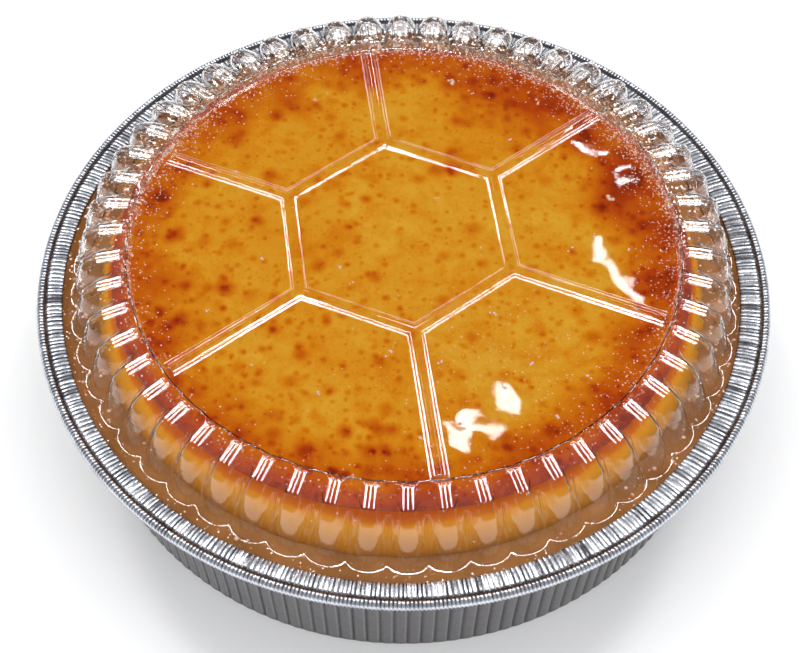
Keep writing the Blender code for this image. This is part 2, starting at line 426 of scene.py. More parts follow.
def clear_plastic():
    """The lid's clear sheet, with fine ripples across the top of each flute."""
    shader = Shader("clear_plastic_sheet")
    place = shader.place()
    turn, height = shader.turn_and_height(place)
    flute = shader.math("MULTIPLY_ADD", turn, FLUTES / (2.0 * math.pi))
    flute.node.inputs[2].default_value = 0.5 - FLUTE_PHASE * FLUTES / (2.0 * math.pi)
    share = shader.math("SUBTRACT", shader.math("FRACT", flute, 0.0), 0.5)
    ripple = shader.math("COSINE", shader.math("MULTIPLY", share, 2.0 * math.pi / 0.21), 0.0)
    on_lobe = shader.span(shader.math("ABSOLUTE", share, 0.0), 0.20, 0.27, 1.0, 0.0)
    near_top = shader.span(height, LID_TOP - 6.0 * MM, LID_TOP - 3.0 * MM)
    outside = shader.span(shader.length(place), 111.5 * MM, 112.5 * MM)
    on_tab = shader.math("MULTIPLY", on_lobe, shader.math("MULTIPLY", near_top, outside))
    ripple = shader.math("MULTIPLY", ripple, on_tab)
    ribbed = shader.bump(ripple, 1.0, RIPPLE_HEIGHT)
    waviness = shader.noise(place, 60.0, 2.0)
    return shader.finish_clear(shader.principled({
        "Base Color": (1.0, 1.0, 1.0, 1.0),
        "Roughness": 0.0,
        "IOR": 1.58,
        "Transmission Weight": 1.0,
        "Normal": shader.add("ShaderNodeBump", {
            "Height": waviness, "Strength": 0.02, "Distance": 0.5 * MM, "Normal": ribbed,
        }).outputs["Normal"],
    }))


def caramel_material():
    """Glossy amber caramel, browner towards its edge and in its spots."""
    shader = Shader("burnt_caramel_glaze")
    place = shader.place()
    inputs = {0: place, 1: (-FLAN_CENTRE.x, -FLAN_CENTRE.y, 0.0)}
    centred = shader.add("ShaderNodeVectorMath", inputs, operation="ADD").outputs[0]
    inputs = {0: centred, 1: (1.0, 1.0, 0.0)}
    flat = shader.add("ShaderNodeVectorMath", inputs, operation="MULTIPLY").outputs[0]
    away = shader.math("DIVIDE", shader.length(flat), CARAMEL_RADIUS)
    cloud = shader.noise(place, 55.0, 4.0, 0.55)
    ragged = shader.math("ADD", away, shader.span(cloud, 0.0, 1.0, -0.13, 0.13))
    edge = shader.span(ragged, 0.76, 1.0)
    rim = shader.math("MULTIPLY", shader.span(away, 0.94, 1.0), 0.30)
    patchy = shader.math("MULTIPLY", shader.stored("burnt"), shader.span(cloud, 0.3, 0.7, 0.7, 1.2))
    swirl = shader.noise(place, 26.0, 4.0, 0.6, 0.8)
    mottle = shader.noise(place, 125.0, 5.0, 0.62, 0.4)
    browning = shader.total(
        shader.math("MULTIPLY", edge, 0.46), patchy, rim,
        shader.span(swirl, 0.38, 0.66, 0.0, 0.17), shader.span(mottle, 0.45, 0.70, 0.0, 0.17),
        shader.small_spots(flat, 260.0, 0.20), shader.small_spots(flat, 560.0, 0.09),
    )
    colour = shader.ramp(browning, [
        (0.0, (0.80, 0.395, 0.030)), (0.09, (0.77, 0.335, 0.016)), (0.18, (0.75, 0.275, 0.008)),
        (0.30, (0.69, 0.205, 0.003)), (0.50, (0.60, 0.120, 0.001)), (0.72, (0.46, 0.050, 0.001)),
        (1.0, (0.25, 0.018, 0.001)),
    ])
    speckle = shader.span(shader.noise(place, 1300.0, 2.0, 0.7), 0.58, 0.74)
    colour = shader.mix(shader.math("MULTIPLY", speckle, 0.30), colour, (0.50, 0.12, 0.002))
    pits = shader.noise(place, 700.0, 3.0, 0.6)
    return shader.finish(shader.principled({
        "Base Color": colour,
        "Roughness": 0.004,
        "Specular IOR Level": 0.7,
        "Normal": shader.bump(pits, 0.016, 0.10 * MM),
    }))


def custard_material():
    """Pale custard, stained by the caramel above, and darker towards its foot, partly syrup stain and partly
    painted shade.
    """
    shader = Shader("egg_custard_side")
    place = shader.place()
    height = shader.add("ShaderNodeSeparateXYZ", {0: place}).outputs["Z"]
    cloud = shader.noise(place, 70.0, 3.0)
    level = shader.math("ADD", height, shader.span(cloud, 0.2, 0.8, -1.3 * MM, 1.3 * MM))
    # Darker towards the foot: partly syrup stain, partly painted shade.
    colour = shader.ramp(shader.span(level, 46.0 * MM, CUSTARD_HIGH.z + 1.3 * MM), [
        (0.0, (0.32, 0.112, 0.010)), (0.25, (0.52, 0.200, 0.012)), (0.62, (0.74, 0.300, 0.013)),
        (0.71, (0.74, 0.26, 0.007)), (0.78, (0.62, 0.15, 0.002)), (0.88, (0.52, 0.09, 0.001)),
    ])
    pores = shader.noise(place, 800.0, 2.0, 0.6)
    return shader.finish(shader.principled({
        "Base Color": colour,
        "Roughness": shader.span(pores, 0.3, 0.7, 0.25, 0.4),
        "Specular IOR Level": 0.08,
        "Subsurface Weight": 0.25,
        "Subsurface Radius": (3.0 * MM, 1.5 * MM, 0.5 * MM),
        "Subsurface Scale": 1.0,
        "Normal": shader.bump(pores, 0.2, 0.2 * MM),
    }))


def syrup_material():
    """Brown syrup, a little cloudy."""
    shader = Shader("dark_caramel_syrup")
    place = shader.place()
    cloud = shader.noise(place, 90.0, 3.0)
    colour = shader.ramp(cloud, [(0.3, (0.29, 0.130, 0.046)), (0.7, (0.45, 0.205, 0.072))])
    return shader.finish(shader.principled({
        "Base Color": colour,
        "Roughness": shader.span(cloud, 0.2, 0.8, 0.04, 0.12),
        "Coat Weight": 0.5,
        "Coat Roughness": 0.03,
        "Normal": shader.bump(shader.noise(place, 300.0, 2.0), 0.15, 0.3 * MM),
    }))


# ---- Clear lid


def lid_sections():
    """Outside face of the lid down a front lobe, a back lobe and a valley: radius and height."""
    start = [(84.9, -2.7), (85.3, -2.7), (86.2, 0.0)]
    rest = [(109.2, -19.65), (112.8, -19.7)]
    front = start + [(88.4, -0.02), (95.8, -1.32), (99.2, -4.3), (101.0, -9.0), (104.9, -19.5)] + rest
    back = start + [(88.4, -0.02), (96.6, -1.25), (102.6, -3.5), (104.2, -8.5), (105.8, -19.5)] + rest
    valley = start + [(86.6, -0.04), (91.4, -1.9), (94.4, -4.6), (98.3, -11.2), (102.6, -19.3)] + rest
    bends = (0.7, 0.9, 0.6, 1.3, 2.2, 6.0, 0.9, 1.0)
    paths = []
    for corners in (front, back, valley):
        path = rounded_path(corners, bends, bend_steps=2) * MM
        path[:, 1] += LID_TOP
        paths.append(path)
    return paths


def flute_shape(share, fullness, squareness):
    """Rise of a flute from valley 0 to lobe 1; flat-topped at fullness 0 and round at 1."""
    away = np.abs(share)
    flat = 0.5 + 0.5 * np.cos(np.pi * np.clip((away - 0.135) / 0.225, 0.0, 1.0))
    flat = flat - 0.03 * np.clip(away / 0.135, 0.0, 1.0) ** 2 * (away < 0.36)
    full = np.clip(1.0 - (away / 0.475) ** 2.2, 0.0, 1.0) ** squareness
    return blend(flat, full, fullness)


def lid_grid():
    """The lid's outside face from the panel's rim out to the flange's: the columns' angles, and points."""
    front, back, valley = lid_sections()
    half = np.array([0.0, 0.065, 0.13, 0.175, 0.22, 0.28, 0.34, 0.395, 0.435, 0.465])
    shares = np.concatenate([-half[:0:-1], half, [0.5]])
    flutes = np.arange(FLUTES)[:, None]
    angles = (FLUTE_PHASE + 2.0 * math.pi * (flutes + shares) / FLUTES).reshape(-1)
    backward = smoothstep(-1.0, 0.8, np.sin(angles))
    lobe_radii = blend(front[:, :1], back[:, :1], backward)
    lobe_heights = blend(front[:, 1:], back[:, 1:], backward)
    depth = LID_TOP - 0.5 * (front[:, 1:] + valley[:, 1:])
    sharp = np.tile(flute_shape(shares, step_mm(1.5, 7.0, depth), 0.75), (1, FLUTES))
    square = np.tile(flute_shape(shares, step_mm(0.5, 2.6, depth), 0.50), (1, FLUTES))
    rise = blend(sharp, square, backward)
    radii = valley[:, :1] + (lobe_radii - valley[:, :1]) * rise
    heights = valley[:, 1:] + (lobe_heights - valley[:, 1:]) * rise
    return angles, turned(angles, radii, heights)


def grid_normals(points):
    """Unit normals of a grid that closes along its columns."""
    across = np.roll(points, -1, axis=1) - np.roll(points, 1, axis=1)
    along = np.gradient(points, axis=0)
    normals = np.cross(along, across)
    return normals / np.linalg.norm(normals, axis=-1, keepdims=True)


def polar(centre, distance, angle):
    return Vector((centre.x + distance * math.cos(angle), centre.y + distance * math.sin(angle)))


def ridge_outline(width, end_radius):
    """The star at one height: its outer outline and its inner hexagon."""
    half = 0.5 * width
    sixth = math.pi / 3.0
    corner_reach = half / math.sin(sixth)
    outer = []
    inner = []
    for index in range(6):
        angle = HEXAGON_PHASE + index * sixth
        corner = polar(HEXAGON_CENTRE, HEXAGON_RADIUS, angle)
        outward = Vector((math.cos(angle), math.sin(angle)))
        sideways = Vector((-outward.y, outward.x))
        along = corner.dot(outward)
        reach = -along + math.sqrt(along ** 2 - corner.length_squared + end_radius ** 2)
        tip = corner + outward * (reach - 0.25 * half)
        outer += [
            polar(corner, corner_reach, angle - sixth),
            tip - sideways * half,
            tip + sideways * half,
            polar(corner, corner_reach, angle + sixth),
        ]
        inner.append(polar(corner, corner_reach, angle + math.pi))
    return outer, inner


def star_plate(circle, drop):
    """The panel inside a circle of points, with the star standing on it. drop lowers it by a sheet."""
    panel = LID_TOP - PANEL_DROP - drop
    points = [Vector(point) for point in circle]
    faces = []
    levels = []
    ways = [(0.0, 0.0)]
    for (near, slope), (far, next_slope) in zip(RIDGE_SLOPES, RIDGE_SLOPES[1:]):
        ways.append((far, ways[-1][1] + 0.5 * (slope + next_slope) * (far - near)))
    for inward, lift in ways:
        outer, inner = ridge_outline(RIDGE_FOOT - 2.0 * inward * MM, RIDGE_END_RADIUS - 0.5 * inward * MM)
        first = len(points)
        for index, spot in enumerate(outer + inner):
            at_tip = index < 24 and index % 4 in (1, 2)
            spoke = HEXAGON_PHASE + index // 4 * math.pi / 3.0
            steeper = 0.22 * math.sin(spoke) ** 2 if at_tip else 0.05
            points.append(Vector((*spot, panel + lift * (1.0 + steeper) * MM)))
        levels.append((list(range(first, first + 24)), list(range(first + 24, first + 30))))
    for below, above in zip(levels, levels[1:]):
        for low, high in zip(below, above):
            for index in range(len(low)):
                after = (index + 1) % len(low)
                faces.append((low[index], low[after], high[after], high[index]))
    outer, inner = levels[-1]
    for index in range(6):
        a, b, c, d = outer[4 * index:4 * index + 4]
        follows = outer[(4 * index + 4) % 24]
        faces.append((a, b, c, d))
        faces.append((a, d, inner[index]))
        faces.append((d, follows, inner[(index + 1) % 6], inner[index]))
    outer, inner = levels[0]
    count = len(circle)
    used = list(range(count)) + outer
    loops = [[index, (index + 1) % count] for index in range(count)]
    loops += [[count + index, count + (index + 1) % 24] for index in range(24)]
    flat = [points[index].to_2d() for index in used]
    star = flat[count:]
    for triangle in delaunay_2d_cdt(flat, loops, [], 0, 1e-7)[2]:
        middle = sum((flat[corner] for corner in triangle), Vector((0.0, 0.0))) / 3.0
        if not inside_outline(middle, star):
            faces.append(tuple(used[corner] for corner in triangle))
    faces.append(tuple(inner))
    return points, faces


def inside_outline(spot, outline):
    """Whether a point lies inside a closed outline, by counting crossings."""
    crossings = 0
    for first, second in zip(outline, outline[1:] + outline[:1]):
        if (first.y > spot.y) != (second.y > spot.y):
            across = first.x + (spot.y - first.y) * (second.x - first.x) / (second.y - first.y)
            crossings += across > spot.x
    return crossings % 2 == 1


def build_lid(outside):
    """The clear lid, as a sheet with an inside face and the star panel in its middle."""
    inside = outside - grid_normals(outside) * LID_SHEET
    inside[0] = outside[0] - np.array([0.0, 0.0, LID_SHEET])
    points = np.vstack([outside, inside[::-1]])
    rows, columns = points.shape[:2]
    faces = grid_faces(rows, columns).tolist()
    flat = points.reshape(-1, 3).tolist()
    for circle, offset, drop in ((outside[0], 0, 0.0), (inside[0], (rows - 1) * columns, LID_SHEET)):
        plate, plate_faces = star_plate(circle, drop)
        shift = len(flat) - columns
        flat += [list(point) for point in plate[columns:]]
        for face in plate_faces:
            faces.append([offset + corner if corner < columns else shift + corner for corner in face])
    return add_piece("lid_clear_shell", flat, faces, clear_plastic(), "clear_lid", 30.0)


# ---- Foil pan


def build_pan(material):
    """Floor, ribbed side, neck and the flange that carries the lid."""
    shelf = (FLANGE_BOTTOM - 0.15 * MM) / MM
    outer = [(100.0, 0.0), (103.6, 0.0), (104.6, 2.2), (107.9, 48.4), (108.6, shelf), (113.4, shelf)]
    path = rounded_path(outer, (1.6, 2.5, 0.8, 0.5), bend_steps=3) * MM
    per_rib = 10
    columns = RIBS * per_rib
    angles = ring_angles(columns)
    share = (np.arange(columns) / per_rib) % 1.0
    away = np.minimum(share, 1.0 - share)
    groove = np.exp(-(away / 0.13) ** 2)
    crown = 0.25 * np.cos(2.0 * math.pi * (share - 0.5))
    random = np.random.default_rng(5)
    depth = np.repeat(random.uniform(0.75, 1.25, RIBS), per_rib)
    height = path[:, 1:]
    reach = step_mm(0.4, 3.5, height) * (1.0 - step_mm(45.5, 48.6, height))
    relief = (-groove * depth + crown) * 0.45 * MM
    radii = path[:, :1] + reach * relief
    outside = turned(angles, radii, height)
    inside = turned(angles, radii - FOIL, height + FOIL * (height < 1.0 * MM))
    flange = path[:, 0] > 108.3 * MM
    inside[flange] = outside[flange] + np.array([0.0, 0.0, 0.12 * MM])
    points, faces = capped(np.vstack([outside, inside[::-1]]))
    return add_piece("pan_ribbed_side", points, faces, material, "foil_pan", 50.0)


def outline_points(corners, spacing):
    """A closed outline with points about every spacing, and its unit normals."""
    corners = np.array(corners) * MM
    path = []
    for first, second in zip(corners, np.roll(corners, -1, axis=0)):
        count = max(1, round(np.linalg.norm(second - first) / spacing))
        path += [first + (second - first) * step / count for step in range(count)]
    path = np.array(path)
    along = np.roll(path, -1, axis=0) - np.roll(path, 1, axis=0)
    normals = np.stack([-along[:, 1], along[:, 0]], axis=-1)
    return path, normals / np.linalg.norm(normals, axis=-1, keepdims=True)


def store_shares(piece, name, values):
    """Keeps one value per point on a piece, for its material to read."""
    layer = piece.data.attributes.new(name, "FLOAT", "POINT")
    layer.data.foreach_set("value", np.asarray(values, dtype=np.float32))


def pressed_ring(name, path, normals, angles, shift, material, sharp_angle, inward=0.0):
    """A foil ring whose outline is pushed along its normals by shift and towards the axis by inward."""
    radii = np.minimum(path[:, :1] + shift * normals[:, :1] - inward, RIM_RADIUS)
    heights = np.minimum(RIM_TOP + path[:, 1:] + shift * normals[:, 1:], RIM_TOP)
    points = turned(angles, radii, heights)
    rows, columns = points.shape[:2]
    faces = grid_faces(rows, columns, closed_rows=True)
    return add_piece(name, points, faces, material, "foil_pan", sharp_angle)


def build_hem(material):
    """The pleated strip folded over the lid's flange."""
    random = np.random.default_rng(11)
    widths = random.uniform(0.75, 1.25, PLEATS)
    starts = np.concatenate([[0.0], np.cumsum(widths)])
    starts = starts / starts[-1] * 2.0 * math.pi
    local = np.array([0.0, 0.13, 0.27, 0.50, 0.73, 0.87])
    angles = (starts[:-1, None] + np.diff(starts)[:, None] * local).reshape(-1)
    one_each = (PLEATS, 1)
    depth = random.uniform(0.6, 1.1, one_each)
    tilt = random.normal(0.0, 0.08, one_each)
    crease = np.array([1.0, 0.75, 0.10, 0.0, 0.10, 0.75])
    rise = (-0.26 * crease * depth + tilt * (local - 0.5)).reshape(-1)
    dull = random.uniform(0.0, 0.45, one_each) ** 1.5 + 0.45 * (random.uniform(0.0, 1.0, one_each) < 0.08)
    pleat_shade = np.maximum(np.clip(0.85 * crease * depth, 0.0, 1.0), dull).reshape(-1)
    corners = [
        (110.0, -1.95), (108.8, -1.95), (108.55, -1.55), (108.8, -1.05), (110.2, -0.74), (111.6, -0.68),
        (113.0, -0.74), (113.9, -0.90), (114.4, -1.3), (114.4, -2.2), (112.0, -2.3),
    ]
    path, normals = outline_points(corners, 0.8 * MM)
    radius, height = path[:, :1], path[:, 1:]
    top = (height > -1.6 * MM) & (radius < 114.0 * MM)
    pleated = top * step_mm(108.4, 109.2, radius) * (1.0 - step_mm(113.2, 113.9, radius))
    pleated = 0.35 * top + 0.65 * pleated
    lean = random.normal(0.0, 0.10, PLEATS)
    skew = np.repeat(lean, len(local)) * ((radius - 111.0 * MM) / (3.0 * MM))
    shift = pleated * (rise + 0.35 * skew * rise) * MM
    reach = (1.0 - step_mm(108.8, 112.0, radius)) * smoothstep(-0.1, 0.8, np.cos(angles))
    piece = pressed_ring("pan_pleated_hem", path, normals, angles, shift, material, 30.0, HEM_REACH * reach)
    # Painted shade: darker in the pleats' creases, at the hem's outer end by the bead and along its inner
    # edge; some pleats are duller at random.
    ends = 1.0 - 0.8 * step_mm(113.6, 113.9, radius) * top
    inner = 0.55 * (1.0 - step_mm(108.6, 109.3, radius))
    shade = 1.0 - ends * (1.0 - pleat_shade * top) * (1.0 - inner)
    store_shares(piece, "shade", shade.reshape(-1))
    return piece


def build_bead(material):
    """The knurled roll round the outside of the rim."""
    random = np.random.default_rng(12)
    columns = KNURLS * 4
    angles = ring_angles(columns)
    corners = [
        (114.0, -0.95), (114.4, -0.45), (115.0, -0.1), (115.9, -0.2), (116.6, -0.9), (116.9, -1.9),
        (116.7, -2.9), (116.1, -3.6), (115.2, -4.0), (115.8, -4.3), (115.4, -4.6), (113.6, -4.4),
        (113.0, -4.2), (113.0, -2.0),
    ]
    path, normals = outline_points(corners, 0.5 * MM)
    radius, height = path[:, :1], path[:, 1:]
    upper = step_mm(114.1, 114.8, radius) * step_mm(-1.9, -1.0, height)
    lower = step_mm(115.6, 116.3, radius) * step_mm(-1.6, -2.2, height)
    lower = lower * (1.0 - step_mm(-3.2, -3.9, height))
    uneven = np.repeat(random.uniform(0.55, 1.0, KNURLS), 4)
    knurl = np.tile([1.0, 0.35, 0.0, 0.35], KNURLS) * uneven
    lower_knurl = np.roll(knurl, 2)
    shift = -(upper * knurl + lower * lower_knurl) * 0.38 * MM
    piece = pressed_ring("pan_knurled_bead", path, normals, angles, shift, material, 40.0)
    # Painted shade: darker on the inner slope, under the roll and between the knurls.
    inner = 0.75 - 0.75 * step_mm(114.25, 114.8, radius)
    below = step_mm(-3.7, -4.1, height)
    shade = np.maximum(inner, 0.35 * below) + 0.85 * upper * knurl
    shade = shade + lower * (0.45 + 0.5 * lower_knurl)
    store_shares(piece, "shade", np.clip(shade, 0.0, 1.0).reshape(-1))
    return piece


# ---- Flan


def build_custard():
    """The custard's uneven side, widening from the caramel down to its foot."""
    height_low, height_high = CUSTARD_LOW.z, CUSTARD_HIGH.z
    top_radius = CARAMEL_RADIUS + 0.5 * MM
    rows = 26
    columns = 240
    angles = ring_angles(columns)
    share = np.linspace(0.0, 1.0, rows)[:, None]
    heights = height_low + (height_high - height_low) * share
    shoulder = smoothstep(46.0 * MM, height_high + 7.0 * MM, heights)
    radius = CUSTARD_FOOT_RADIUS + (top_radius - CUSTARD_FOOT_RADIUS) * shoulder / shoulder[-1]
    radius[0] -= 1.5 * MM
    radius[-1] -= 0.6 * MM
    field = wave_field(3, 12.0 * MM)
    x = np.cos(angles) * radius + heights
    y = np.sin(angles) * radius - heights
    radii = radius + 0.25 * MM * (field(x, y) - 1.0)
    points, faces = capped(turned(angles, radii, heights, FLAN_CENTRE))
    return add_piece("custard_body", points, faces, custard_material(), "custard")


# Burnt patches: angle in degrees from +X, distance from the middle and size in mm, strength
BURNT_PATCHES = [
    (74, 72, 9, 0.35), (62, 77, 10, 0.45), (50, 76, 11, 0.40), (38, 78, 9, 0.40), (17, 69, 8, 0.55),
    (24, 80, 10, 0.50), (8, 79, 11, 0.45), (-8, 80, 10, 0.35), (-24, 78, 9, 0.30), (-40, 80, 10, 0.30),
    (-62, 80, 9, 0.35), (-88, 82, 8, 0.35), (-110, 80, 9, 0.25), (120, 75, 8, 0.40), (136, 78, 9, 0.35),
    (150, 74, 7, 0.35), (168, 78, 9, 0.25), (190, 72, 8, 0.22), (205, 76, 9, 0.25), (100, 80, 9, 0.25),
]


def burnt_share(x, y):
    """How burnt the caramel is at a place: broad patches near the edge and small round spots."""
    total = np.zeros(np.shape(x))
    for angle, distance, size, strength in BURNT_PATCHES:
        patch_x, patch_y = on_flan(distance * MM, math.radians(angle))
        away = (x - patch_x) ** 2 + (y - patch_y) ** 2
        total += 0.85 * strength * np.exp(-away / (size * MM) ** 2)
    for spot_x, spot_y, size, strength in SPOTS:
        away = (x - spot_x) ** 2 + (y - spot_y) ** 2
        total += strength * np.exp(-(away / size ** 2) ** 1.3)
    return total


def scatter_spots():
    """Seeded places of the small browned spots, denser towards the edge and at the lower left."""
    random = np.random.default_rng(21)
    spots = []
    reach = 86.0
    while len(spots) < BROWNED_SPOTS:
        x, y = random.uniform(-reach, reach, 2) * MM
        away = math.hypot(x, y) / (reach * MM)
        if away > 0.98:
            continue
        likely = 0.22 + 0.50 * away ** 2 + 0.35 * (x < 0.0) * (y < 0.03)
        if random.uniform() > likely:
            continue
        low, high = (0.6, 1.2) if random.uniform() < 0.55 else (1.2, 2.6)
        size = random.uniform(low, high) * MM
        spots.append((FLAN_CENTRE.x + x, FLAN_CENTRE.y + y, size, random.uniform(0.12, 0.38)))
    return spots


SPOTS = scatter_spots()


def caramel_height(x, y):
    """Top of the caramel: gently uneven, and falling off at its rounded edge."""
    away = np.hypot(x - FLAN_CENTRE.x, y - FLAN_CENTRE.y)
    field = wave_field(8, 26.0 * MM)
    fine = wave_field(9, 7.0 * MM)
    edge = smoothstep(CARAMEL_RADIUS - 7.0 * MM, CARAMEL_RADIUS, away)
    rough = 0.025 * MM * (field(x, y) - 1.0) + 0.004 * MM * (fine(x, y) - 1.0)
    return CARAMEL_HIGH.z + rough - 1.5 * MM * edge ** 2


def build_caramel(material):
    """The caramel layer, with how burnt it is stored on its points."""
    angles = ring_angles(420)
    distances = np.concatenate([np.arange(1.0, 89.0, 0.8), [89.0, 89.6, 90.1]]) * MM
    distances = distances * CARAMEL_RADIUS / (90.5 * MM)
    flat = turned(angles, distances[:, None], 0.0, FLAN_CENTRE)
    flat[..., 2] = caramel_height(flat[..., 0], flat[..., 1])
    levels = np.array([[0.6], [0.15], [0.0]])
    side_heights = CARAMEL_LOW.z + (flat[-1, :, 2] - CARAMEL_LOW.z) * levels
    side_radii = np.array([[CARAMEL_RADIUS], [CARAMEL_RADIUS], [CARAMEL_RADIUS - 0.5 * MM]])
    side = turned(angles, side_radii, side_heights, FLAN_CENTRE)
    points, faces = capped(np.vstack([flat, side]))
    piece = add_piece("caramel_layer", points, faces, material, "caramel")
    store_shares(piece, "burnt", burnt_share(points[:, 0], points[:, 1]))
    return piece


def build_syrup():
    """Dark syrup between the custard's side and the pan, with a meniscus at the pan."""
    columns = 240
    angles = ring_angles(columns)
    inner = CUSTARD_FOOT_RADIUS
    low, high = SYRUP_LOW.z, SYRUP_HIGH.z
    film = FLANGE_BOTTOM + 0.12 * MM
    by_flan = [(inner + 0.4 * MM, low), (inner - 0.8 * MM, high)]
    by_pan = [
        (SYRUP_HIGH.x, high), (107.3 * MM, high + 0.5 * MM), (108.6 * MM, film), (110.5 * MM, film),
        (110.5 * MM, film - 0.1 * MM), (108.8 * MM, film - 0.1 * MM), (107.5 * MM, high - 0.5 * MM),
        (103.6 * MM, low),
    ]
    points = [turned(angles, radius, height, FLAN_CENTRE) for radius, height in by_flan]
    points += [turned(angles, radius, height) for radius, height in by_pan]
    faces = grid_faces(len(points), columns, closed_rows=True)
    return add_piece("syrup_pool", points, faces, syrup_material(), "syrup")


# ---- Bubbles and drops


def cap_template(sides=7, rings=2):
    """Points and faces of a dome of radius 1 and height 1."""
    points = []
    for ring in range(rings):
        share = 1.0 - ring / rings
        for side in range(sides):
            turn = 2.0 * math.pi * side / sides
            points.append((share * math.cos(turn), share * math.sin(turn), 1.0 - share ** 2))
    points.append((0.0, 0.0, 1.0))
    faces = [tuple(face) for face in grid_faces(rings, sides).tolist()]
    last = (rings - 1) * sides
    faces += [(last + side, last + (side + 1) % sides, rings * sides) for side in range(sides)]
    faces.append(tuple(range(sides - 1, -1, -1)))
    return np.array(points), faces


def domes(places, normals, radii, heights, sides=7, rings=2):
    """Joined domes standing on the given places along the given normals."""
    template, template_faces = cap_template(sides, rings)
    points = []
    faces = []
    for place, normal, radius, height in zip(places, normals, radii, heights):
        normal = Vector(normal).normalized()
        side = normal.orthogonal().normalized()
        other = normal.cross(side)
        frame_of_cap = np.array([side * radius, other * radius, normal * height])
        shift = len(points) * len(template)
        points.append(template @ frame_of_cap + np.array(place) - np.array(normal) * 0.03 * MM)
        faces += [tuple(corner + shift for corner in face) for face in template_faces]
    return np.vstack(points), faces


# Bubble clusters: place in mm, how many, size in mm
BUBBLE_CLUSTERS = [
    (66, 20, 5, 0.9), (16, 71, 6, 0.9), (-4, -40, 3, 0.7), (11, -43, 3, 0.6), (28, -25, 3, 0.7),
    (-44, -5, 3, 0.6), (44, 62, 4, 0.7), (-20, -8, 3, 0.5), (-16, -14, 3, 0.5), (60, 6, 2, 0.7),
    (52, 0, 2, 0.7), (48, -12, 2, 0.7), (70, -22, 3, 0.7), (22, 66, 3, 0.6), (-30, 62, 3, 0.5),
    (30, -52, 4, 0.7), (38, -44, 4, 0.6), (18, -66, 4, 0.9), (45, -62, 3, 0.7), (55, -48, 3, 0.6),
    (10, 20, 2, 0.5), (-35, 15, 2, 0.5), (-55, 30, 3, 0.5), (-60, -25, 3, 0.5), (-25, -55, 3, 0.6),
    (5, -70, 3, 0.6), (-45, -45, 2, 0.5), (35, 45, 3, 0.6), (62, 40, 4, 0.7), (70, 0, 3, 0.6),
]


def uneven_painted_glints(strengths, sides):
    """Painted glint shares of domes of two rings, from 0 at each foot to its own strength on top."""
    template = cap_template(sides)[0][:, 2]
    return np.tile(template, len(strengths)) * np.repeat(strengths, len(template))


def build_bubbles():
    """Clusters of bubbles on the burnt spots, and fine ones round the caramel's edge."""
    random = np.random.default_rng(31)
    spots = []
    for x, y, count, size in BUBBLE_CLUSTERS:
        for _ in range(count):
            spot_x = x * MM + random.normal(0.0, 0.9 * size) * MM
            spot_y = y * MM + random.normal(0.0, 0.9 * size) * MM
            spots.append((spot_x, spot_y, random.uniform(0.6, 1.0) * size * MM))
    clustered = len(spots)
    while len(spots) < BUBBLES[0]:
        angle = random.uniform(0.0, 2.0 * math.pi)
        distance = (88.0 - abs(random.normal(0.0, 6.0))) * MM
        likely = 0.25 + 0.75 * max(0.0, math.cos(angle - math.radians(20.0))) ** 1.5
        likely = max(likely, 0.9 * max(0.0, math.cos(angle - math.radians(160.0))) ** 2)
        if random.uniform() < likely:
            spots.append((*on_flan(distance, angle), random.uniform(0.16, 0.40) * MM))
    while len(spots) < BUBBLES[1]:
        angle = random.uniform(math.radians(10.0), math.radians(170.0))
        distance = (88.6 - abs(random.normal(0.0, 2.2))) * MM
        spots.append((*on_flan(distance, angle), random.uniform(0.25, 0.55) * MM))
    while len(spots) < BUBBLES[2]:
        x, y = random.normal((34.0, -48.0), (26.0, 20.0)) * MM
        if math.hypot(x, y) < 82.0 * MM:
            spots.append((x, y, random.uniform(0.14, 0.30) * MM))
    x, y, radii = np.array(spots).T
    places = np.stack([x, y, caramel_height(x, y)], axis=-1)
    normals = np.tile(UPWARD, (len(spots), 1))
    heights = radii * 0.24
    large, faces = domes(places[:clustered], normals, radii[:clustered], heights[:clustered], 10, 3)
    small, small_faces = domes(places[clustered:], normals, radii[clustered:], heights[clustered:], 6, 2)
    faces += [tuple(corner + len(large) for corner in face) for face in small_faces]
    points = np.vstack([large, small])
    piece = add_piece("caramel_bubbles", points, faces, bubble_material(), "caramel", 60.0)
    # Painted glints: how pale each dome is painted towards its top.
    large_painted_glint = np.tile(cap_template(10, 3)[0][:, 2], clustered)
    small_painted_glint = uneven_painted_glints(random.uniform(0.2, 1.3, len(spots) - clustered), 6)
    store_shares(piece, "painted_glint", np.concatenate([0.8 * large_painted_glint, small_painted_glint]))
    return piece


def build_froth():
    """Froth on the syrup behind the flan, with painted glints that make its tops pale."""
    random = np.random.default_rng(37)
    angles = np.radians(random.normal(90.0, 52.0, FROTH_DOMES))
    distances = random.uniform(98.0, 107.2, FROTH_DOMES) * MM
    places = turned(angles, distances, SYRUP_HIGH.z)
    normals = np.tile(UPWARD, (FROTH_DOMES, 1))
    radii = random.uniform(0.30, 0.95, FROTH_DOMES) * MM
    points, faces = domes(places, normals, radii, radii * 0.5)
    piece = add_piece("syrup_froth", points, faces, bubble_material(), "syrup", 60.0)
    # Painted glints on the froth's tops.
    store_shares(piece, "painted_glint", uneven_painted_glints(random.uniform(0.3, 1.6, FROTH_DOMES), 7))
    return piece


def patch_corners(grid):
    """The four corner values of every patch of a grid that closes along its columns."""
    beside = np.roll(grid, -1, axis=1)
    return np.stack([grid[:-1], beside[:-1], grid[1:], beside[1:]])


